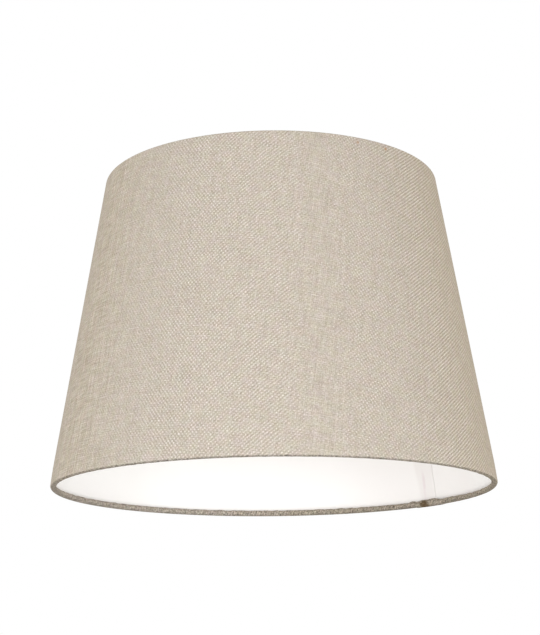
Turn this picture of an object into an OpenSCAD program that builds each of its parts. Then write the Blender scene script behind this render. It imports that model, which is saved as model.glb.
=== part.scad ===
// Tapered lamp shade: laminated linen drum on two wire rings, with a swivelling lampholder fitting.
// The origin is the centre of the lower rim, +Z up, and the lower rim stands on Z = 0.

/* [Shade] */
// Outside diameter of the lower rim
bottom_d = 350; // [300:1:420]
// Outside diameter of the upper rim
top_d = 270; // [230:1:290]
// Overall height
shade_h = 250; // [200:1:300]
// Thickness of the cloth
fabric_t = 0.4; // [0.3:0.05:0.6]
// Thickness of the plastic panel behind the cloth
liner_t = 0.3; // [0.2:0.05:0.4]
// Height of the turned hem on the inside
hem_h = 5.2; // [4.8:0.1:8]

/* [Seam] */
// Direction of the seam's inner edge, counter-clockwise from +X
seam_angle = 38; // [20:0.5:60]
// Angle that the two ends of the panel overlap by
lap_angle = 6.6; // [4:0.1:10]
// Thickness of the double-sided tape
tape_t = 0.1; // [0.08:0.01:0.15]

/* [Wire] */
// Diameter of the rings' and the spokes' wire
wire_d = 3; // [2.6:0.1:3.2]

/* [Lampholder fitting] */
// Height of the pivot pins above the underside of the lampholder plate
gimbal_drop = 35; // [30:0.5:45]
// Thickness of the bracket's sheet steel
plate_t = 1.5; // [1:0.1:2]
// Outside diameter of the lampholder plate
plate_d = 54; // [52:0.5:58]
// Diameter of the large lampholder hole
plate_hole_d = 42; // [40:0.5:43]
// Width of each upright ear
ear_w = 11; // [9:0.5:14]
// Diameter of the small lampholder hole, in the reducer ring
bore_d = 29; // [28:0.5:31]
// Thickness of the reducer ring's flange
flange_t = 1.6; // [1.2:0.1:2]
// Depth of the reducer ring's skirt below its flange
skirt_h = 4; // [3:0.5:6]

/* [Hidden] */
$fn = 120;

LINEN = "#cdc4b5";
PVC_WHITE = "#f7f5f0";
TAPE_CLEAR = "#e6dfc8";
POWDER_WHITE = "#f2f2ef";
PLASTIC_WHITE = "#fbfbf8";

// Clearance that keeps a boolean's cut clean
CUT = 1;

// Shell: radial offsets are measured from the outside of the cloth, outwards positive.
taper = (bottom_d - top_d) / 2 / shade_h;
taper_a = atan(taper);
panel_t = fabric_t + liner_t;
lap_step = panel_t + tape_t;
liner_inset = 1;
rim_round = 1.2;

// Rings: each wire lies tape-deep against the inside of the panel, at the very edge of the hem.
wire_r = wire_d / 2;
fold_r = wire_r + fabric_t;
ring_off = -panel_t - (wire_r + tape_t) / cos(taper_a);
bottom_ring_z = fold_r;
top_ring_z = shade_h - fold_r;
ring_tape_h = 2.4;

// Seam: the outer lap lies on the tape, and joins the rest of the cloth where both are turned in.
lap_root = fabric_t / 2;
panel_gap_a = 0.15;
seam_tape_margin_a = 0.4;
seam_tape_inset = 5;

// Spokes
top_ring_r = outer_r(top_ring_z) + ring_off;
pivot_z = top_ring_z;
weld_swell = 0.35;
weld_r = wire_r + weld_swell;
weld_gap = 0.02;
weld_len = 4;
notch_clearance = 0.7;
notch_r = wire_r + notch_clearance;

// Bracket
ear_x = plate_d / 2;
ear_bend_r = 2.5;
tab_setback = 1;
plate_z = pivot_z - gimbal_drop;
pin_clearance = 0.1;
end_float = 0.3;
head_r = 2.6;
head_t = 1.4;
head_chamfer = 0.6;

// Reducer ring: it drops into the bracket's hole from above.
seat_gap = 0.1;
flange_z = plate_z + plate_t + seat_gap;
flange_margin = 2;
flange_d = plate_d - 2 * flange_margin;
skirt_clearance = 0.2;
skirt_t = 1.6;
rib_t = 1.2;
rib_step = 1;
rib_count = 6;

// Outside radius of the cloth at height z
function outer_r(z) = bottom_d / 2 - taper * z;

// Centre of a ring's wire, in the section plane
function ring_centre(z) = [outer_r(z) + ring_off, z];

// Flat section of one layer of the shell between two radial offsets
module layer_section(inner, outer, z0, z1) {
    polygon([
        [outer_r(z0) + inner, z0],
        [outer_r(z0) + outer, z0],
        [outer_r(z1) + outer, z1],
        [outer_r(z1) + inner, z1]
    ]);
}

// Revolves a flat section from one angle through another
module swept(start, sweep) {
    rotate([0, 0, start]) rotate_extrude(angle = sweep) children();
}

// Section of the tape that hugs the outer side of a ring's wire
module ring_tape_section(z) {
    translate(ring_centre(z)) intersection() {
        difference() {
            circle(r = wire_r + tape_t);
            circle(r = wire_r);
        }
        translate([0, -ring_tape_h / 2]) square([2 * wire_r, ring_tape_h]);
    }
}

// Solid section of one hem: side is 1 at the lower rim and -1 at the upper rim
module hem_outline(z, side) {
    c = ring_centre(z);
    edge_z = z - side * fold_r;
    corner_z = edge_z + side * rim_round;
    corner = [outer_r(corner_z) - rim_round / cos(taper_a), corner_z];
    wall = corner + rim_round * [cos(taper_a), sin(taper_a)];
    tuck_z = edge_z + side * hem_h;
    tuck = [outer_r(tuck_z) - panel_t, tuck_z];
    reach = tuck - c;
    tangent_a = atan2(abs(reach[1]), reach[0]) + acos(fold_r / norm(reach));
    lip = c + fold_r * [cos(tangent_a), side * sin(tangent_a)];
    translate(c) circle(r = fold_r);
    translate(corner) circle(r = rim_round);
    polygon([[c[0], edge_z], [corner[0], edge_z], corner, wall, [outer_r(z), z], c]);
    polygon([c, lip, tuck, [outer_r(z) - panel_t, z]]);
}

// Section of the cloth: the outside wall and both turned hems, less what they are wrapped round
module cloth_section() {
    difference() {
        union() {
            layer_section(-fabric_t, 0, rim_round, shade_h - rim_round);
            hem_outline(bottom_ring_z, 1);
            hem_outline(top_ring_z, -1);
        }
        liner_section(-panel_t);
        translate(ring_centre(bottom_ring_z)) circle(r = wire_r);
        translate(ring_centre(top_ring_z)) circle(r = wire_r);
        ring_tape_section(bottom_ring_z);
        ring_tape_section(top_ring_z);
    }
}

// Section of the plastic panel, with its inner face at a given radial offset
module liner_section(inner) {
    layer_section(inner, inner + liner_t, liner_inset, shade_h - liner_inset);
}

// Section of the outer lap, turned in over both rims
module lap_section() {
    difference() {
        layer_section(-lap_root, lap_step, 0, shade_h);
        layer_section(-fabric_t, tape_t, liner_inset, shade_h - liner_inset);
    }
}

// Section of the hem's second layer on the inside, where both ends of the cloth are turned in
module lap_fold_section(z) {
    half_h = fold_r - fabric_t / 2;
    translate(ring_centre(z)) intersection() {
        difference() {
            circle(r = fold_r + fabric_t);
            circle(r = wire_r + fabric_t / 2);
        }
        translate([-2 * fold_r, -half_h]) square([2 * fold_r, 2 * half_h]);
    }
}

// The linen cover: one sheet with a lapped seam and two turned hems, notched round the spokes
module cover_fabric() {
    color(LINEN) difference() {
        union() {
            rotate_extrude() cloth_section();
            swept(seam_angle, lap_angle) {
                lap_section();
                lap_fold_section(bottom_ring_z);
                lap_fold_section(top_ring_z);
            }
        }
        for (side = [0, 180]) rotate([0, 0, side]) {
            translate([top_ring_r - 2 * fold_r, 0, top_ring_z]) rotate([0, 90, 0]) {
                cylinder(r = notch_r, h = 2 * fold_r);
            }
        }
    }
}

// The white plastic panel behind the cloth, its inner end meeting the wall at the seam
module liner_panel() {
    color(PVC_WHITE) swept(seam_angle, 360 - panel_gap_a) liner_section(-panel_t);
}

// The tape in the seam's lap
module seam_tape() {
    color(TAPE_CLEAR) swept(seam_angle + seam_tape_margin_a, lap_angle - 2 * seam_tape_margin_a) {
        layer_section(0, tape_t, seam_tape_inset, shade_h - seam_tape_inset);
    }
}

// A closed ring of wire with its centreline at height z
module wire_ring(z) {
    rotate_extrude() translate(ring_centre(z)) circle(r = wire_r);
}

// The upper wire ring
module top_ring() {
    color(POWDER_WHITE) wire_ring(top_ring_z);
}

// The lower wire ring
module bottom_ring() {
    color(POWDER_WHITE) wire_ring(bottom_ring_z);
}

// The tape round the upper ring
module top_ring_tape() {
    color(TAPE_CLEAR) rotate_extrude() ring_tape_section(top_ring_z);
}

// The tape round the lower ring
module bottom_ring_tape() {
    color(TAPE_CLEAR) rotate_extrude() ring_tape_section(bottom_ring_z);
}

// An upset head on the pin, its flat face at x and its dome towards -X
module pin_head(x) {
    translate([x, 0, pivot_z]) rotate([0, -90, 0]) rotate_extrude() polygon([
        [0, 0],
        [head_r, 0],
        [head_r, head_t - head_chamfer],
        [head_r - head_chamfer, head_t],
        [0, head_t]
    ]);
}

// One spoke: welded to the top ring, its inner end the pivot pin, with an upset each side of the ear
module spoke() {
    inner_face_x = ear_x - end_float;
    outer_face_x = ear_x + plate_t + end_float;
    pin_end_x = inner_face_x - head_t / 2;
    color(POWDER_WHITE) {
        difference() {
            translate([0, 0, pivot_z]) rotate([0, 90, 0]) {
                translate([0, 0, pin_end_x]) cylinder(d = wire_d, h = top_ring_r - pin_end_x);
                translate([0, 0, top_ring_r - weld_len]) cylinder(r1 = wire_r, r2 = weld_r, h = weld_len);
            }
            translate([top_ring_r, weld_r + CUT, top_ring_z]) rotate([90, 0, 0]) {
                cylinder(r = wire_r + weld_gap, h = 2 * (weld_r + CUT));
            }
        }
        pin_head(inner_face_x);
        translate([2 * outer_face_x, 0, 0]) mirror([1, 0, 0]) pin_head(outer_face_x);
    }
}

// The spoke on the +X side
module spoke_right() {
    spoke();
}

// The spoke on the -X side
module spoke_left() {
    mirror([1, 0, 0]) spoke();
}

// Flat outline, in the XZ plane, of one tab bent up into an ear
module ear_profile() {
    root_x = plate_hole_d / 2 + tab_setback;
    bend = [ear_x + plate_t - ear_bend_r, ear_bend_r];
    top_z = gimbal_drop + ear_w / 2;
    translate([root_x, 0]) square([bend[0] - root_x, plate_t]);
    translate([ear_x, bend[1]]) square([plate_t, top_z - bend[1]]);
    translate(bend) intersection() {
        difference() {
            circle(r = ear_bend_r);
            circle(r = ear_bend_r - plate_t);
        }
        translate([0, -ear_bend_r]) square(ear_bend_r);
    }
}

// Side outline of an ear: straight sides and a round top about the pivot
module ear_outline() {
    translate([-ear_w / 2, -CUT]) square([ear_w, gimbal_drop + CUT]);
    translate([0, gimbal_drop]) circle(d = ear_w);
}

// The pressed steel lampholder ring with its two ears
module gimbal_bracket() {
    color(POWDER_WHITE) translate([0, 0, plate_z]) difference() {
        union() {
            cylinder(d = plate_d, h = plate_t);
            for (side = [0, 180]) rotate([0, 0, side]) intersection() {
                translate([0, ear_w / 2, 0]) rotate([90, 0, 0]) linear_extrude(ear_w) ear_profile();
                rotate([90, 0, 90]) linear_extrude(plate_d) ear_outline();
            }
        }
        translate([0, 0, -CUT]) cylinder(d = plate_hole_d, h = plate_t + 2 * CUT);
        translate([-plate_d, 0, gimbal_drop]) rotate([0, 90, 0]) {
            cylinder(r = wire_r + pin_clearance, h = 2 * plate_d);
        }
    }
}

// A short tube
module tube(outer, inner, z, h) {
    translate([0, 0, z]) difference() {
        cylinder(r = outer, h = h);
        translate([0, 0, -CUT]) cylinder(r = inner, h = h + 2 * CUT);
    }
}

// The plastic reducer ring: a flange, a locating skirt, a bore boss and ribs between them
module reducer_ring() {
    skirt_r = plate_hole_d / 2 - skirt_clearance;
    boss_r = bore_d / 2 + skirt_t;
    low_z = flange_z - skirt_h;
    color(PLASTIC_WHITE) {
        tube(flange_d / 2, bore_d / 2, flange_z, flange_t);
        tube(skirt_r, skirt_r - skirt_t, low_z, skirt_h);
        tube(boss_r, bore_d / 2, low_z, skirt_h);
        for (i = [0 : rib_count - 1]) rotate([0, 0, i * 360 / rib_count]) {
            translate([boss_r - skirt_t / 2, -rib_t / 2, low_z + rib_step]) {
                cube([skirt_r - boss_r, rib_t, skirt_h - rib_step + flange_t / 2]);
            }
        }
    }
}

cover_fabric();
liner_panel();
seam_tape();
top_ring();
bottom_ring();
top_ring_tape();
bottom_ring_tape();
spoke_left();
spoke_right();
gimbal_bracket();
reducer_ring();
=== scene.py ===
import math

import bpy
import numpy as np
from mathutils import Matrix, Vector


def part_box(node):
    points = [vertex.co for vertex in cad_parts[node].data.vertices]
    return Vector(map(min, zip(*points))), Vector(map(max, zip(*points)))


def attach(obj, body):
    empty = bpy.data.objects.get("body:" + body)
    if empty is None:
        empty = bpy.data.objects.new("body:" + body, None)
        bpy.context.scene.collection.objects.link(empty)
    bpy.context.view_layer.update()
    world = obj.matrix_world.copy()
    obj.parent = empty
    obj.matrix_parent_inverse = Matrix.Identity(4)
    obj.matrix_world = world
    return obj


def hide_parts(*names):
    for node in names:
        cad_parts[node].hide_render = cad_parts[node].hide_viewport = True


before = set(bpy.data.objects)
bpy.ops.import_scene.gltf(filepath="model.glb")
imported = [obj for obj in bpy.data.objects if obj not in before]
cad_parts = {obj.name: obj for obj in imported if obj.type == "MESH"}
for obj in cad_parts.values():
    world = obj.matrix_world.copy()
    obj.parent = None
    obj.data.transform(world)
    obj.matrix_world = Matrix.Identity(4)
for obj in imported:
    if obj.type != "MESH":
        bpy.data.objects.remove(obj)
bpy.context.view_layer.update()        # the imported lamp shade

# ---------------------------------------------------------------- sizes, in metres
MM = 0.001
TURN = 2 * math.pi
CLOTH_T = 0.4 * MM
PANEL_T = 0.7 * MM           # cloth and plastic together
TAPE_T = 0.1 * MM
SKIN_GAP = 0.02 * MM         # left between faces that lie on each other
LAP_STEP = PANEL_T + TAPE_T  # how far the outer lap stands proud

# The seam, as angles round the shade, counter-clockwise from +X
SEAM = math.radians(38.0)    # its inner edge
LAP = math.radians(6.6)      # how far the sheet runs on past it
RAMP = math.radians(6.0)     # where the sheet climbs over its other end

# The cone and its two rings, each as (radius, height), from the CAD
TOP_LOW, TOP_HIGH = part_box("top_ring")
BOTTOM_LOW, BOTTOM_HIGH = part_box("bottom_ring")
WIRE_R = (BOTTOM_HIGH[2] - BOTTOM_LOW[2]) / 2
BOTTOM_RING = (BOTTOM_HIGH[0] - WIRE_R, (BOTTOM_HIGH[2] + BOTTOM_LOW[2]) / 2)
TOP_RING = (TOP_HIGH[0] - WIRE_R, (TOP_HIGH[2] + TOP_LOW[2]) / 2)
TAPER = (BOTTOM_RING[0] - TOP_RING[0]) / (TOP_RING[1] - BOTTOM_RING[1])
SLOPE = math.atan(TAPER)
SINE = math.sin(SLOPE)
RING_OFF = PANEL_T + (WIRE_R + TAPE_T) / math.cos(SLOPE)
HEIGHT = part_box("cover_fabric")[1][2]

# The turned hems
HEM_H = 4.9 * MM                   # height of the tucked edge on the inside
HEM_PULL = 0.35 * MM               # how far the lower hem pulls the wall in
CREASE_IN = 0.25 * MM              # the dent that the tucked edge leaves on the outside
SHOULDER = 1.6 * MM                # how far the turned edge's shoulder stands off the panel
ROLL_TURN = math.radians(175)      # how far the cloth goes round its wire
FOLD_BLEND = math.radians(60)      # the turn in which it comes off the panel and onto the wire
ROLL_FROM = math.radians(85)       # where it begins to stand off the wire, on the inside
NOTCH_TURN = math.radians(60)      # how far it goes round where it is cut away for a spoke
NOTCH_HALF = 2.2 * MM              # half the cut's width

# The sheets' grids, and where their faces lie in the baked texture
COVER_COLUMNS = 760
WALL_ROWS = 18
ROLL_ROWS = 16
LIP_ROWS = 9
PANEL_COLUMNS = 420
PANEL_ROWS = 40
GORES = 4
GUTTER = 0.003
HIDDEN_STRIP = 0.035               # height of the strip for the side that nobody sees
STRIP_LOW, STRIP_HIGH = 0.004, 0.027
STRIP_SIDE = 0.01

# The cloth's weave: one full repeat across and up, and where its warp runs straight up the wall
REPEAT_U = 2.92 * MM
REPEAT_V = 3.30 * MM
GRAIN = SEAM + math.radians(182.0)

# ---------------------------------------------------------------- looks
STRAW = (0.482, 0.4225, 0.339, 1)
COOL_STRAW = (0.476, 0.4245, 0.362, 1)
PINK_FIBRE = (0.489, 0.420, 0.396, 1)
GREENER = (0.990, 1.018, 0.990, 1)  # this and the next two multiply another colour
PINKER = (1.010, 0.982, 1.010, 1)
SIDE_SHADE_WARMTH = (1.0, 0.985, 0.93, 1)
HEM_TONE_AND_SHADE = 0.79                     # the turned cloth's tone beside the wall's: partly its own darker tone with no white panel behind it, partly painted shade
EDGE_SOFTNESS = 0.25 * MM           # on the bracket and the reducer

CAMERA_PLACE = (0.0113, -1.2256, -0.1645)
CAMERA_YAW = math.radians(-0.612)
CAMERA_UP = math.radians(13.955)
CAMERA_ROLL = math.radians(-0.566)
CAMERA_LENS = 88.64
CAMERA_SENSOR = 36
FLOOR_Z = -2.4
FLOOR_HALF = 60.0
ROOM_COLOUR = (1.0, 0.98, 0.955, 1)
ROOM_STRENGTH = 0.85
LAMPS = {
    # name: degrees from the front toward +X, distance, height, width, watts, colour
    "key": (-34, 2.1, -0.30, 1.0, 13.0, (0.84, 0.93, 1.0)),
    "fill": (52, 2.0, -0.60, 1.0, 9.0, (0.88, 0.95, 1.0)),
    "front": (0, 1.5, -0.40, 1.3, 6.5, (1.0, 1.0, 1.0)),
    "back": (200, 2.4, 0.70, 1.4, 14.0, (0.95, 0.98, 1.0)),
}


# ---------------------------------------------------------------- shapes round the shade
def smooth(x, low, high):
    """0 below low, 1 above high, and a smooth step between."""
    t = np.clip((np.asarray(x, float) - low) / (high - low), 0, 1)
    return t * t * (3 - 2 * t)


def hill(angle, from_back, half_width):
    """A smooth bump round a place given in degrees clockwise from the back."""
    away = (90 - np.degrees(angle) - from_back + 180) % 360 - 180
    return np.exp(-((away / half_width) ** 2))


def lumps(angle, count, seed):
    """Smooth random waves round the shade, about -1 to 1, with about count waves in a turn."""
    rng = np.random.default_rng(seed)
    total = np.zeros_like(angle)
    for harmonic in range(int(count * 0.5), int(count * 1.5)):
        total += rng.normal() * np.cos(harmonic * angle + rng.uniform(0, TURN))
    return total / math.sqrt(count / 2)


def outer_r(z):
    """Outside radius of the cloth at height z."""
    return BOTTOM_RING[0] + RING_OFF - (z - BOTTOM_RING[1]) * TAPER


def lean(z):
    """How far the hem pulls the wall in above the lower rim."""
    return HEM_PULL * (1 - smooth(z, 3 * MM, 16 * MM))


def slant(z):
    """Distance from the cone's tip to height z, along the wall."""
    return outer_r(z) / SINE


def flat_point(angle, distance):
    """Place on the flat cloth, in metres, of a point at an angle and a distance from the cone's tip."""
    spread = (angle - GRAIN) * SINE
    return distance * np.sin(spread), distance * np.cos(spread)


def unrolled(from_back):
    """A place given in degrees clockwise from the back, as the sheet's own unrolled angle."""
    angle = math.radians(90 - from_back)
    while angle < SEAM + LAP:
        angle += TURN
    return angle


# ---------------------------------------------------------------- material building
class Paint:
    """One material and a few short ways to add nodes to it."""

    def __init__(self, name, roughness, specular=0.5):
        self.material = bpy.data.materials.new(name)
        self.material.use_nodes = True
        self.tree = self.material.node_tree
        self.shader = self.tree.nodes["Principled BSDF"]
        self.shader.inputs["Roughness"].default_value = roughness
        self.shader.inputs["Specular IOR Level"].default_value = specular

    def node(self, kind, **settings):
        made = self.tree.nodes.new("ShaderNode" + kind)
        for key, value in settings.items():
            setattr(made, key, value)
        return made

    def put(self, socket, value):
        """Links a socket to another one, or gives it a plain value."""
        if isinstance(value, bpy.types.NodeSocket):
            self.tree.links.new(value, socket)
        else:
            socket.default_value = value

    def math(self, operation, a, b=0.0):
        made = self.node("Math", operation=operation)
        self.put(made.inputs[0], a)
        self.put(made.inputs[1], b)
        return made.outputs[0]

    def add(self, first, *others):
        for other in others:
            first = self.math("ADD", first, other)
        return first

    def times(self, first, *others):
        for other in others:
            first = self.math("MULTIPLY", first, other)
        return first

    def minus(self, a, b):
        return self.math("SUBTRACT", a, b)

    def over(self, a, b):
        return self.math("DIVIDE", a, b)

    def bell(self, value, centre, width):
        """A smooth hump of height 1."""
        away = self.over(self.minus(value, centre), width)
        return self.math("EXPONENT", self.times(away, away, -1))

    def step(self, value, low, high, to_low=0.0, to_high=1.0):
        """A smooth step from to_low, at low, to to_high, at high."""
        made = self.node("MapRange", interpolation_type="SMOOTHSTEP")
        for socket, given in zip(made.inputs, (value, low, high, to_low, to_high)):
            self.put(socket, given)
        return made.outputs[0]

    def about_one(self, noise, amount):
        """Turns a noise of 0 to 1 into a factor from 1 - amount to 1 + amount."""
        made = self.node("MapRange", clamp=False)
        for socket, given in zip(made.inputs, (noise, 0.0, 1.0, 1 - amount, 1 + amount)):
            self.put(socket, given)
        return made.outputs[0]

    def uv(self, name):
        split = self.node("SeparateXYZ")
        self.put(split.inputs[0], self.node("UVMap", uv_map=name).outputs[0])
        return split.outputs[0], split.outputs[1]

    def place(self):
        return self.node("TexCoord").outputs["Object"]

    def vector(self, x, y, z=0.0):
        made = self.node("CombineXYZ")
        for socket, value in zip(made.inputs, (x, y, z)):
            self.put(socket, value)
        return made.outputs[0]

    def length(self, vector):
        made = self.node("VectorMath", operation="LENGTH")
        self.put(made.inputs[0], vector)
        return made.outputs["Value"]

    def noise(self, vector, scale, detail=2.0, roughness=0.5):
        made = self.node("TexNoise", noise_dimensions="3D")
        self.put(made.inputs["Vector"], vector)
        made.inputs["Scale"].default_value = scale
        made.inputs["Detail"].default_value = detail
        made.inputs["Roughness"].default_value = roughness
        return made.outputs[0]

    def mix(self, factor, a, b, blend="MIX"):
        made = self.node("Mix", data_type="RGBA", blend_type=blend)
        self.put(made.inputs[0], factor)
        self.put(made.inputs[6], a)
        self.put(made.inputs[7], b)
        return made.outputs[2]

    def tint(self, colour, factor):
        """colour times a grey factor."""
        made = self.node("VectorMath", operation="SCALE")
        self.put(made.inputs[0], colour)
        self.put(made.inputs["Scale"], factor)
        return made.outputs[0]

    def bump(self, height, distance, strength):
        made = self.node("Bump")
        made.inputs["Strength"].default_value = strength
        made.inputs["Distance"].default_value = distance
        self.put(made.inputs["Height"], height)
        self.put(self.shader.inputs["Normal"], made.outputs[0])

    def colour(self, value):
        self.put(self.shader.inputs["Base Color"], value)


# ---------------------------------------------------------------- the linen
def grain_angle(p, u, v):
    """Degrees round the shade from where the warp runs straight up."""
    return p.over(p.math("DEGREES", p.math("ARCTAN2", u, v)), SINE)


def front_angle(p, u, v):
    """Degrees from the front toward +X, folded back 60 degrees to the left so it runs on smoothly."""
    front = p.add(grain_angle(p, u, v), math.degrees(GRAIN) - 270)
    return p.minus(p.math("ABSOLUTE", p.add(front, 60)), 60)


def band_angle(p, u, v):
    """The front angle, leaning a little with height as the band where the checks fade does."""
    return p.add(front_angle(p, u, v), p.step(v, slant(HEIGHT), slant(0), 0.0, 2.4))


def painted_yarn_shading(p, u, v):
    """Painted yarn shading: how strongly each diagonal of the checks shows, and which yarns look lighter, round
    the shade, as the lamps light warp and weft differently.
    """
    angle = front_angle(p, u, v)
    # Painted yarn shading: the light floats and the dull ones change places round the shade
    swap = p.step(band_angle(p, u, v), 2, 27, 1.0, -1.0)
    rising = p.times(
        p.step(angle, -46, -8, 0.05, 0.88),
        p.step(angle, 8, 24, 1.0, 0.72),
        p.step(angle, 28, 55, 1.0, 2.3),
        p.step(angle, 48, 76, 1.0, 0.45),
    )
    falling = p.add(p.times(p.bell(angle, -23, 13), 0.50), p.times(p.bell(angle, 24, 14), 0.32), 0.30)
    return p.times(rising, swap), p.times(falling, swap)


def plainness(p, u, v):
    """How much single yarns stand out, round the shade: most where the diagonals fade."""
    on_the_left = p.step(front_angle(p, u, v), -60, -34, 0.75, 0.22)
    in_the_band = p.times(p.bell(band_angle(p, u, v), 14, 7), 0.18)
    return p.add(on_the_left, in_the_band)


def weave_checks(p, u, v):
    """Yarn counts across and along, the checks, about -1 to 1, and the lines between the yarns."""
    wander = 0.9 * MM
    drift_u = p.times(p.minus(p.noise(p.vector(u, v), 90, 1), 0.5), wander)
    drift_v = p.times(p.minus(p.noise(p.vector(v, u), 90, 1), 0.5), wander)
    across = p.times(p.add(u, drift_u), 2 / REPEAT_U)
    along = p.times(p.add(v, drift_v), 2 / REPEAT_V)
    rising = p.math("COSINE", p.times(p.add(across, along), math.pi))
    falling = p.math("COSINE", p.times(p.minus(across, along), math.pi))
    rising_depth, falling_depth = painted_yarn_shading(p, u, v)
    checks = p.add(p.times(rising, rising_depth), p.times(falling, falling_depth))
    # Light floats are small and bright, and the ground between them is wide and dull
    checks = p.add(checks, p.times(checks, checks, 0.22))
    lines = p.add(p.math("COSINE", p.times(across, TURN)), p.math("COSINE", p.times(along, TURN)))
    return across, along, checks, lines


def yarn_tones(p, across, along):
    """Each float's own brightness and each yarn's own tone, which changes along it, as one factor."""
    warp_no = p.math("ROUND", across)
    weft_no = p.math("ROUND", along)
    cell = p.node("TexWhiteNoise", noise_dimensions="2D")
    p.put(cell.inputs["Vector"], p.vector(warp_no, weft_no))
    warp_tone = p.noise(p.vector(p.times(warp_no, 7.31), p.times(along, 0.09)), 1, 3, 0.7)
    weft_tone = p.noise(p.vector(p.times(across, 0.09), p.times(weft_no, 5.17), 9.0), 1, 3, 0.7)
    return p.times(
        p.about_one(cell.outputs["Value"], 0.06),
        p.about_one(warp_tone, 0.085),
        p.about_one(weft_tone, 0.10),
    )


def slubs(p, u, v):
    """Thicker, duller lengths that run on along a few neighbouring yarns, about 0."""
    warp_slub = p.minus(p.noise(p.vector(u, p.times(v, 0.05), 7.0), 680, 1, 0.6), 0.5)
    weft_slub = p.minus(p.noise(p.vector(p.times(u, 0.05), v, 8.0), 1080, 1, 0.6), 0.5)
    return p.add(warp_slub, weft_slub)


def cloth_light(p, u, v, weave, fibre):
    """How light the cloth is at each place, about 1."""
    across, along, checks, lines = weave
    flat = p.vector(u, v)
    plain = plainness(p, u, v)
    depth = p.step(p.noise(flat, 90, 2, 0.6), 0.3, 0.7, 0.7, 1.3)
    woven = p.add(p.times(checks, depth, 0.165), 1.0, p.times(lines, 0.038))
    speckle = p.times(p.minus(fibre, 0.5), p.minus(1.14, p.times(plain, 0.65)))
    cloudy = p.about_one(p.noise(flat, 75, 2, 0.5), 0.015)
    streaks = p.add(p.times(slubs(p, u, v), plain), 1.0)
    return p.times(woven, p.add(speckle, 1.0), yarn_tones(p, across, along), cloudy, streaks)


def yarn_colour(p, u, v):
    """The yarns run from straw to a cooler grey, and from greener to pinker, in patches and in specks; the sides
    get a warmer painted shade.
    """
    patch = p.step(p.noise(p.vector(u, v, 3.0), 160, 4, 0.6), 0.36, 0.64)
    body = p.mix(patch, STRAW, COOL_STRAW)
    fleck = p.noise(p.vector(u, v, 5.0), 1100, 2, 0.6)
    body = p.mix(p.step(fleck, 0.35, 0.65, 0.0, 0.35), body, PINK_FIBRE)
    pinker = p.step(p.noise(p.vector(u, v, 11.0), 120, 3, 0.7), 0.35, 0.65)
    body = p.mix(1.0, body, p.mix(pinker, GREENER, PINKER), "MULTIPLY")
    # Painted shade: the cloth is warmer towards the shade's sides, where the light falls off
    painted_side_shade = p.step(p.math("ABSOLUTE", front_angle(p, u, v)), 30, 70)
    return p.mix(painted_side_shade, body, p.mix(1.0, body, SIDE_SHADE_WARMTH, "MULTIPLY"))


def painted_hem_shade_near_seam(p, u, v):
    """Painted shade on the turned cloth, deepest near the seam."""
    from_back = p.minus(90 + 360 - math.degrees(GRAIN), grain_angle(p, u, v))
    near_seam = p.add(p.bell(from_back, 42, 36), p.bell(from_back, 42 + 360, 36))
    return p.times(near_seam, 0.14)


def turned_cloth(p, u, v, cloth):
    """Darkens the cloth where it is turned in: partly its own darker tone, as there is no white panel behind it,
    and partly painted shade on the roll's inside and underside, with a painted shadow line under the lower roll
    and painted shade deepest near the seam.
    """
    flat = p.vector(u, v)
    distance = p.length(flat)
    bottom_edge = slant(0)
    top_edge = slant(HEIGHT)
    at_bottom = p.step(distance, bottom_edge - 1.2 * MM, bottom_edge - 0.4 * MM)
    at_top = p.step(distance, top_edge - 0.3 * MM, top_edge + 0.6 * MM, 1.0, 0.0)
    turned = p.math("MAXIMUM", at_bottom, at_top)
    # Painted shadow: a darker line along the underside of the lower roll, where it turns under the rim
    crease = p.times(
        p.step(distance, bottom_edge - 1.6 * MM, bottom_edge - 0.3 * MM),
        p.step(distance, bottom_edge + 3.2 * MM, bottom_edge + 5.6 * MM, 0.22, 0.0),
    )
    # Painted shade on the hem, deepest near the seam
    painted_seam_shade = p.times(painted_hem_shade_near_seam(p, u, v), turned)
    shade = p.minus(p.step(turned, 0.0, 1.0, 1.0, HEM_TONE_AND_SHADE), p.add(crease, painted_seam_shade))
    coarse = p.add(p.noise(flat, 520, 1, 0.7), -0.5)
    return p.tint(p.tint(cloth, p.add(p.times(coarse, turned, 2.5), 1.0)), shade)


def stain(p, flat, cloth, place, half_size, colour, strength):
    """One ragged mark on the cloth. place is degrees clockwise from the back and distance from the tip."""
    from_back, distance = place
    offset = p.node("VectorMath", operation="SUBTRACT")
    p.put(offset.inputs[0], flat)
    offset.inputs[1].default_value = (*flat_point(unrolled(from_back), distance), 0)
    scaled = p.node("VectorMath", operation="MULTIPLY")
    p.put(scaled.inputs[0], offset.outputs[0])
    scaled.inputs[1].default_value = (1 / half_size[0], 1 / half_size[1], 0)
    ragged_size = p.add(p.length(scaled.outputs[0]), p.times(p.noise(flat, 700, 2), 0.9))
    return p.mix(p.step(ragged_size, 0.9, 1.6, strength, 0.0), cloth, colour)


def stains(p, flat, cloth):
    """Two rusty flecks near the upper rim and the glue mark in the hem at the seam."""
    fleck_places = (150.6, slant(HEIGHT - 4.9 * MM)), (139.4, slant(HEIGHT - 4.8 * MM))
    cloth = stain(p, flat, cloth, fleck_places[0], (1.3 * MM, 1.6 * MM), (0.40, 0.24, 0.13, 1), 0.5)
    cloth = stain(p, flat, cloth, fleck_places[1], (1.4 * MM, 1.7 * MM), (0.42, 0.24, 0.12, 1), 0.7)
    glue_place = (48.8, slant(0) + 5.6 * MM)
    return stain(p, flat, cloth, glue_place, (7.0 * MM, 5.6 * MM), (0.10, 0.06, 0.025, 1), 0.85)


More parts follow.
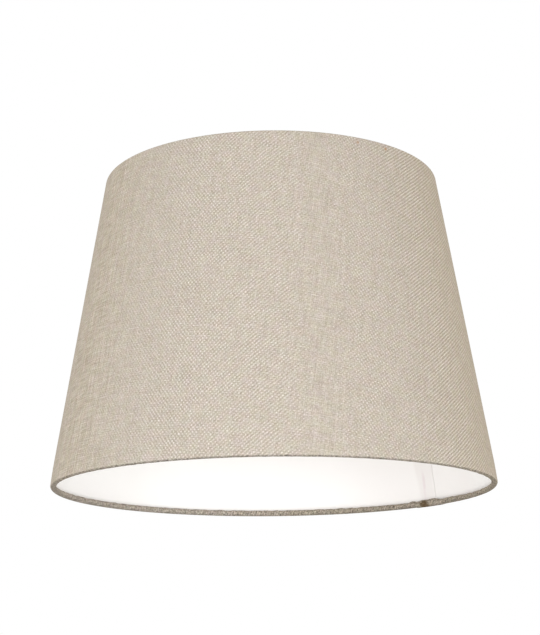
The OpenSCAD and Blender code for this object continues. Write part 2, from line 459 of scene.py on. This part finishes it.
def linen():
    """Oatmeal linen: light and dull yarns in a plain weave, slubs, fibres, and the darker turned-in hem."""
    p = Paint("linen_weave", 0.95, specular=0.0)
    u, v = p.uv("cloth")
    weave = weave_checks(p, u, v)
    fibre = p.noise(p.vector(p.times(u, 0.8), v), 1050, 1, 0.6)
    light = cloth_light(p, u, v, weave, fibre)
    # Dull places are also warmer
    light_colour = p.vector(p.math("POWER", light, 0.94), light, p.math("POWER", light, 1.14))
    cloth = p.mix(1.0, yarn_colour(p, u, v), light_colour, "MULTIPLY")
    p.colour(stains(p, p.vector(u, v), turned_cloth(p, u, v, cloth)))
    checks, lines = weave[2:]
    p.bump(p.add(p.times(checks, 0.35), p.times(lines, 0.3), p.times(fibre, 0.8)), 0.15 * MM, 0.7)
    return p.material


# ---------------------------------------------------------------- the other materials
def doubled_panel(p, arc, z, wavy):
    """1 where the panel is doubled at the seam: narrower at the lower rim, and wavy at its far edge."""
    width = LAP * BOTTOM_RING[0]
    far_edge = p.add(wavy, p.step(z, 0.0, 40 * MM, 3.5 * MM, 0.0))
    before_far_edge = p.step(far_edge, width - 1 * MM, width + 3 * MM, 1.0, 0.0)
    return p.times(before_far_edge, p.step(arc, -0.5 * MM, 0.2 * MM))


def glue_streak(p, flat, z, wavy):
    """The faint pink streak of glue down the lap, low on the wall."""
    away = p.math("ABSOLUTE", p.minus(wavy, 12.5 * MM))
    streak = p.times(p.step(away, 0.3 * MM, 2.4 * MM, 1.0, 0.0), p.step(z, 22 * MM, 34 * MM, 1.0, 0.0))
    return p.times(streak, p.step(p.noise(flat, 130, 2), 0.35, 0.6, 0.2, 0.75))


def pvc():
    """White PVC sheet: satin and faintly uneven, with painted shade making it greyer near the seam and where it
    is doubled there.
    """
    p = Paint("pvc_panel", 0.42, specular=0.35)
    arc, z = p.uv("panel")
    flat = p.vector(arc, z)
    cloudy = p.noise(flat, 28, 3)
    white = p.mix(p.step(cloudy, 0.35, 0.65), (0.955, 0.940, 0.928, 1), (0.950, 0.934, 0.920, 1))
    # Painted shade: greyer on the seam side of the shade's inside
    painted_shade_seam_side = p.times(p.step(arc, -90 * MM, -40 * MM), p.step(arc, 60 * MM, 260 * MM, 1.0, 0.0))
    white = p.mix(painted_shade_seam_side, white, (0.905, 0.874, 0.858, 1))
    wavy = p.add(arc, p.times(p.noise(flat, 45, 2), 3 * MM))
    doubled = p.times(doubled_panel(p, arc, z, wavy), p.step(cloudy, 0.3, 0.7, 0.75, 1.0))
    # Painted shade: greyer where the panel is doubled, as less light comes through two layers
    white = p.mix(doubled, white, (0.850, 0.812, 0.795, 1))
    white = p.mix(glue_streak(p, flat, z, wavy), white, (0.78, 0.69, 0.70, 1))
    grain = p.noise(flat, 900, 2)
    p.colour(p.tint(white, p.about_one(grain, 0.012)))
    p.bump(p.add(p.times(cloudy, 6.0), grain), 0.02 * MM, 0.5)
    return p.material


def powder_coat(name):
    """White powder coat: slight orange peel, thinner and greyer in a few specks."""
    p = Paint(name, 0.38)
    place = p.place()
    tone = p.mix(p.step(p.noise(place, 90, 2), 0.35, 0.7), (0.72, 0.72, 0.70, 1), (0.78, 0.78, 0.765, 1))
    speck = p.step(p.noise(place, 5200, 1), 0.74, 0.82, 0.0, 0.5)
    p.colour(p.mix(speck, tone, (0.5, 0.5, 0.48, 1)))
    p.bump(p.noise(place, 1400, 2), 0.06 * MM, 0.6)
    return p.material


def moulded_plastic():
    """White moulded polypropylene with a fine spark-eroded grain."""
    p = Paint("moulded_plastic", 0.45)
    place = p.place()
    cloudy = p.step(p.noise(place, 70, 2), 0.3, 0.7)
    p.colour(p.mix(cloudy, (0.80, 0.805, 0.79, 1), (0.84, 0.84, 0.83, 1)))
    p.bump(p.noise(place, 2600, 3, 0.6), 0.03 * MM, 0.7)
    return p.material


def adhesive_film():
    """Clear double-sided tape, slightly yellow, with the weave's print in it."""
    p = Paint("adhesive_film", 0.3)
    place = p.place()
    weave_print = p.step(p.noise(place, 400, 2), 0.4, 0.6)
    p.colour(p.mix(weave_print, (0.78, 0.73, 0.60, 1), (0.84, 0.80, 0.70, 1)))
    p.bump(p.noise(place, 1200, 2), 0.05 * MM, 0.5)
    return p.material


# ---------------------------------------------------------------- the hems' uneven edges
def frayed(angle, coarse, fine, seed):
    """The cut edge's unevenness, from coarse and fine waves in a turn."""
    return 0.14 * MM * lumps(angle, coarse, seed) + 0.05 * MM * lumps(angle, fine, seed + 1)


def lower_lip(angle):
    """Height of the lower hem's tucked edge: uneven, and doubled up at the seam."""
    doubled = 1.3 * MM * smooth(hill(angle, 49.6, 4.2), 0.2, 0.75)
    lump = 1.1 * MM * hill(angle, 43.4, 1.1) + 0.6 * MM * hill(angle, 60.5, 4.5)
    dip = 0.7 * MM * hill(angle, 70, 22)
    return HEM_H + frayed(angle, 90, 300, 3) + doubled + lump - dip


def upper_lip(angle):
    """Height of the upper hem's tucked edge."""
    doubled = 1.6 * MM * smooth(hill(angle, 50.0, 4.6), 0.2, 0.75)
    return HEM_H + frayed(angle, 80, 260, 13) + doubled


def lower_roll(angle):
    """Fullness of the lower roll on the inside."""
    return 0.8 * MM + 0.12 * MM * lumps(angle, 90, 5) + 0.3 * MM * hill(angle, 50, 4.5)


def upper_roll(angle):
    """Fullness of the upper roll on the inside."""
    return 1.1 * MM + 0.12 * MM * lumps(angle, 80, 15) + 0.3 * MM * hill(angle, 50, 4.8)


# ---------------------------------------------------------------- the shade's sheets
def sheet_angles(columns):
    """Unrolled angles from the sheet's inner end to its outer end, closer there and at the spokes."""
    even = np.linspace(SEAM, SEAM + TURN + LAP, columns)
    fine = np.array([0.15, 0.35, 0.7]) * MM / BOTTOM_RING[0]
    notch = np.arcsin(np.array([-1.06, -0.99, 0.99, 1.06]) * NOTCH_HALF / TOP_RING[0])
    return np.unique(np.concatenate([even, even[0] + fine, even[-1] - fine, math.pi + notch, TURN + notch]))


def climb(angles):
    """How far out each column of the sheet stands: 0, then up over its own inner end."""
    return LAP_STEP * smooth(angles, SEAM + TURN - RAMP, SEAM + TURN)


def at_spoke(angle):
    """Whether the cloth is cut away here, where a spoke meets the upper ring."""
    return abs(math.sin(angle)) * TOP_RING[0] < NOTCH_HALF


def cut_tail(leave):
    """The last points of the cloth at a notch: straight on from where it leaves the wire."""
    along = np.array([-math.sin(NOTCH_TURN), math.cos(NOTCH_TURN)])
    return leave + along * np.linspace(0, 0.3 * MM, LIP_ROWS + 1)[1:, None]


def tucked_tail(leave, ring, side, lip_height):
    """The last points of the cloth in a hem: one curve, over a shoulder and in to the panel."""
    rise = lip_height - WIRE_R - CLOTH_T
    lip = np.array([outer_r(ring[1] + side * rise) - PANEL_T - ring[0] - SKIN_GAP, -rise])
    belly = leave + np.array([-0.5 * MM, -0.5 * rise])
    shoulder = np.array([lip[0] - SHOULDER, -rise - 0.6 * MM])
    t = np.linspace(0, 1, LIP_ROWS + 1)[1:, None]
    s = 1 - t
    return s ** 3 * leave + 3 * t * s ** 2 * belly + 3 * t ** 2 * s * shoulder + t ** 3 * lip


def hem_path(angle, out, ring, side, edge):
    """One hem's outside surface at one angle, from the wall round the wire to the tucked edge.

    side is 1 at the lower rim and -1 at the upper. edge is the lip's height and the roll's fullness.
    Returns radii, heights and lengths from the wall.
    """
    lip_height, fullness = edge
    start = -side * SLOPE
    wall_gap = WIRE_R + TAPE_T + PANEL_T * math.cos(SLOPE) + out - (lean(0) if side > 0 else 0)
    fold_gap = WIRE_R + CLOTH_T + min(out, CLOTH_T)
    cut_back = side < 0 and at_spoke(angle)
    turn = np.linspace(start, NOTCH_TURN if cut_back else ROLL_TURN, ROLL_ROWS)
    blend = smooth(turn, start, start + FOLD_BLEND)
    gap = wall_gap * (1 - blend) + fold_gap * blend + fullness * smooth(turn, ROLL_FROM, ROLL_TURN)
    # x is outward from the wire's centre, and w is away from the shade's middle height
    x = gap * np.cos(turn)
    w = gap * np.sin(turn)
    leave = np.array([x[-1], w[-1]])
    tail = cut_tail(leave) if cut_back else tucked_tail(leave, ring, side, lip_height)
    x = np.concatenate([x, tail[:, 0]])
    w = np.concatenate([w, tail[:, 1]])
    length = np.concatenate([[0], np.cumsum(np.hypot(np.diff(x), np.diff(w)))])
    return ring[0] + x, ring[1] - side * w, length


def cloth_column(angle, out, low_edge, top_edge):
    """The cloth's outside surface at one angle: radii, heights and distances from the cone's tip."""
    low_r, low_z, low_s = hem_path(angle, out, BOTTOM_RING, 1, low_edge)
    top_r, top_z, top_s = hem_path(angle, out, TOP_RING, -1, top_edge)
    wall_z = np.linspace(top_z[0], low_z[0], WALL_ROWS + 2)[1:-1]
    crease = CREASE_IN * (smooth(wall_z, 2.5 * MM, 4.5 * MM) - smooth(wall_z, 4.8 * MM, 6.5 * MM))
    wall_r = outer_r(wall_z) + out - lean(wall_z) - crease
    radius = np.concatenate([top_r[::-1], wall_r, low_r])
    height = np.concatenate([top_z[::-1], wall_z, low_z])
    distance = np.concatenate([slant(top_z[0]) - top_s[::-1], slant(wall_z), slant(low_z[0]) + low_s])
    return radius, height, distance


def shell_mesh(name, radius, height, angles, thickness):
    """A closed thin shell from a grid of outside points. Rows run down and columns run round.

    Returns the mesh, and each face corner's row, column and whether it is off the outside.
    """
    rows, columns = radius.shape
    down_r = np.gradient(radius, axis=0)
    down_z = np.gradient(height, axis=0)
    size = np.hypot(down_r, down_z)
    size[size == 0] = 1
    inner_r = radius + thickness * down_z / size
    inner_z = height - thickness * down_r / size
    points = []
    for r, z in ((radius, height), (inner_r, inner_z)):
        points.append(np.stack([r * np.cos(angles), r * np.sin(angles), z], -1).reshape(-1, 3))
    verts = np.concatenate(points)
    grid = np.arange(rows * columns).reshape(rows, columns)
    shift = rows * columns
    a, b, c, d = grid[:-1, :-1], grid[1:, :-1], grid[1:, 1:], grid[:-1, 1:]
    front = np.stack([a, b, c, d], -1).reshape(-1, 4)
    back = np.stack([d, c, b, a], -1).reshape(-1, 4) + shift
    rims = [
        np.stack([grid[0, :-1], grid[0, 1:], grid[0, 1:] + shift, grid[0, :-1] + shift], -1),
        np.stack([grid[-1, 1:], grid[-1, :-1], grid[-1, :-1] + shift, grid[-1, 1:] + shift], -1),
        np.stack([grid[1:, 0], grid[:-1, 0], grid[:-1, 0] + shift, grid[1:, 0] + shift], -1),
        np.stack([grid[:-1, -1], grid[1:, -1], grid[1:, -1] + shift, grid[:-1, -1] + shift], -1),
    ]
    faces = np.concatenate([front, back, *rims])
    mesh = bpy.data.meshes.new(name)
    mesh.from_pydata(verts.tolist(), [], faces.tolist())
    mesh.polygons.foreach_set("use_smooth", np.ones(len(faces), bool))
    mesh.update()
    corner = faces.reshape(-1)
    off_outside = np.repeat(np.arange(len(faces)) >= len(front), 4)
    return mesh, (corner % shift) // columns, (corner % shift) % columns, off_outside


def add_uv(mesh, name, u, v):
    """A UV layer with one value for each face corner."""
    layer = mesh.uv_layers.new(name=name)
    layer.data.foreach_set("uv", np.stack([u, v], -1).astype(np.float32).reshape(-1))


def share(values):
    """Values from first to last as shares from 0 to 1."""
    return (values - values[0]) / (values[-1] - values[0])


def bake_layout(mesh, row, column, hidden, across, down):
    """Lays the seen side out as four gores, two by two, with the hidden side in a thin strip.

    across and down are 0 to 1 over the grid's columns and rows.
    """
    u = across[column]
    v = down[row]
    face_u = u.reshape(-1, 4).mean(1)
    gore = np.repeat(np.clip((face_u * GORES).astype(int), 0, GORES - 1), 4)
    local = np.clip(u * GORES - gore, 0, 1)
    cell_w = 0.5
    cell_h = (1 - HIDDEN_STRIP) / 2
    bake_u = (gore % 2) * cell_w + GUTTER + local * (cell_w - 2 * GUTTER)
    bake_v = HIDDEN_STRIP + (gore // 2) * cell_h + GUTTER + v * (cell_h - 2 * GUTTER)
    bake_u = np.where(hidden, STRIP_SIDE + (1 - 2 * STRIP_SIDE) * u, bake_u)
    bake_v = np.where(hidden, STRIP_LOW + (STRIP_HIGH - STRIP_LOW) * v, bake_v)
    add_uv(mesh, "OFBake", bake_u, bake_v)


def make_piece(mesh, material):
    """A mesh as an object in the scene, in one material."""
    piece = bpy.data.objects.new(mesh.name, mesh)
    mesh.materials.append(material)
    bpy.context.scene.collection.objects.link(piece)
    return piece


def linen_cover(material):
    """The cloth as one closed sheet: wall, lapped seam, and both hems rolled round their wires."""
    angles = sheet_angles(COVER_COLUMNS)
    low_edges = zip(lower_lip(angles), lower_roll(angles))
    top_edges = zip(upper_lip(angles), upper_roll(angles))
    columns = [cloth_column(*given) for given in zip(angles, climb(angles), low_edges, top_edges)]
    radius, height, distance = (np.stack(part, -1) for part in zip(*columns))
    mesh, row, column, hidden = shell_mesh("linen_cover", radius, height, angles, CLOTH_T - SKIN_GAP)
    u, v = flat_point(angles[column], distance[row, column])
    add_uv(mesh, "cloth", u, v)
    bake_layout(mesh, row, column, hidden, share(angles), 1 - share(distance[:, 0]))
    piece = make_piece(mesh, material)
    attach(piece, "shade")
    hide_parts("cover_fabric")


def plastic_panel(material):
    """The PVC panel: the shade's whole inside wall, its inner end standing proud at the seam."""
    angles = sheet_angles(PANEL_COLUMNS)
    past = np.array([0.45, 0.3, 0.15]) * MM / BOTTOM_RING[0]
    angles = np.concatenate([angles[0] - past, angles])
    out = climb(angles) + 0.32 * MM * (1 - smooth(angles, SEAM - past[0], SEAM))
    z = np.linspace(HEIGHT - 2 * MM, 2 * MM, PANEL_ROWS)
    height = np.repeat(z[:, None], len(angles), 1)
    radius = outer_r(height) - CLOTH_T - SKIN_GAP + out - lean(height)
    thickness = PANEL_T - CLOTH_T - SKIN_GAP
    mesh, row, column, off_outside = shell_mesh("plastic_panel", radius, height, angles, thickness)
    # Arc lengths are counted both ways from the seam, so the lap's two layers share theirs
    arc = np.where(angles < SEAM + math.pi, angles - SEAM, angles - SEAM - TURN) * BOTTOM_RING[0]
    add_uv(mesh, "panel", arc[column], z[row])
    bake_layout(mesh, row, column, ~off_outside, share(angles), 1 - share(z))
    piece = make_piece(mesh, material)
    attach(piece, "shade")
    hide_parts("liner_panel")


# ---------------------------------------------------------------- the CAD's own pieces
def repaint(material, *nodes):
    """Gives CAD nodes a better material."""
    for node in nodes:
        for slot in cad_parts[node].material_slots:
            slot.material = material


def round_edges(*nodes):
    """Softens CAD nodes' sharp edges without moving them."""
    for node in nodes:
        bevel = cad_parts[node].modifiers.new("soft_edges", "BEVEL")
        bevel.width = EDGE_SOFTNESS
        bevel.segments = 3
        bevel.limit_method = "ANGLE"
        bevel.angle_limit = math.radians(40)


# ---------------------------------------------------------------- studio
def make_camera():
    """Below the rim and in front, looking up at the shade."""
    data = bpy.data.cameras.new("camera")
    data.lens = CAMERA_LENS
    data.sensor_width = CAMERA_SENSOR
    camera = bpy.data.objects.new("camera", data)
    level = math.cos(CAMERA_UP)
    ahead = Vector((math.sin(CAMERA_YAW) * level, math.cos(CAMERA_YAW) * level, math.sin(CAMERA_UP)))
    right = Vector((math.cos(CAMERA_YAW), -math.sin(CAMERA_YAW), 0))
    up = right.cross(ahead)
    c, s = math.cos(CAMERA_ROLL), math.sin(CAMERA_ROLL)
    right, up = c * right + s * up, -s * right + c * up
    turn = Matrix((right, up, -ahead)).transposed().to_4x4()
    camera.matrix_world = Matrix.Translation(CAMERA_PLACE) @ turn
    bpy.context.scene.collection.objects.link(camera)
    bpy.context.scene.camera = camera


def make_lamp(name, degrees, away, height, width, watts, colour):
    """A round soft lamp aimed at the shade's middle, at an angle from the front toward +X."""
    data = bpy.data.lights.new(name, "AREA")
    data.shape = "DISK"
    data.size = width
    data.energy = watts
    data.color = colour
    angle = math.radians(degrees)
    place = Vector((away * math.sin(angle), -away * math.cos(angle), height))
    lamp = bpy.data.objects.new(name, data)
    lamp.location = place
    lamp.rotation_euler = (Vector((0, 0, HEIGHT / 2)) - place).to_track_quat("-Z", "Y").to_euler()
    lamp.visible_camera = False
    bpy.context.scene.collection.objects.link(lamp)


def white_room():
    """A white room: the walls show pure white, and light the shade a little less and more warmly."""
    world = bpy.data.worlds.new("white_room")
    world.use_nodes = True
    tree = world.node_tree
    glow = tree.nodes["Background"]
    glow.inputs[0].default_value = ROOM_COLOUR
    glow.inputs[1].default_value = ROOM_STRENGTH
    wall = tree.nodes.new("ShaderNodeBackground")
    wall.inputs[0].default_value = (1, 1, 1, 1)
    seen = tree.nodes.new("ShaderNodeLightPath")
    choose = tree.nodes.new("ShaderNodeMixShader")
    tree.links.new(seen.outputs["Is Camera Ray"], choose.inputs[0])
    tree.links.new(glow.outputs[0], choose.inputs[1])
    tree.links.new(wall.outputs[0], choose.inputs[2])
    tree.links.new(choose.outputs[0], tree.nodes["World Output"].inputs[0])
    bpy.context.scene.world = world


def make_floor():
    """A pale floor well below the hanging shade."""
    corners = [(-1, -1), (1, -1), (1, 1), (-1, 1)]
    mesh = bpy.data.meshes.new("floor")
    mesh.from_pydata([(x * FLOOR_HALF, y * FLOOR_HALF, FLOOR_Z) for x, y in corners], [], [(0, 1, 2, 3)])
    p = Paint("floor_paint", 0.9)
    p.colour(p.mix(p.noise(p.place(), 1.2, 2), (0.90, 0.90, 0.89, 1), (0.92, 0.92, 0.91, 1)))
    make_piece(mesh, p.material)


def make_studio():
    """The room, its lamps and the floor."""
    white_room()
    bpy.context.scene.view_settings.view_transform = "Standard"
    bpy.context.scene.cycles.diffuse_bounces = 8
    for name, settings in LAMPS.items():
        make_lamp(name, *settings)
    make_floor()


# ---------------------------------------------------------------- build
make_camera()
make_studio()
linen_cover(linen())
plastic_panel(pvc())
repaint(powder_coat("powder_coat_wire"), "top_ring", "bottom_ring", "spoke_left", "spoke_right")
repaint(powder_coat("powder_coat_pressing"), "gimbal_bracket")
repaint(moulded_plastic(), "reducer_ring")
repaint(adhesive_film(), "seam_tape", "top_ring_tape", "bottom_ring_tape")
round_edges("gimbal_bracket", "reducer_ring")
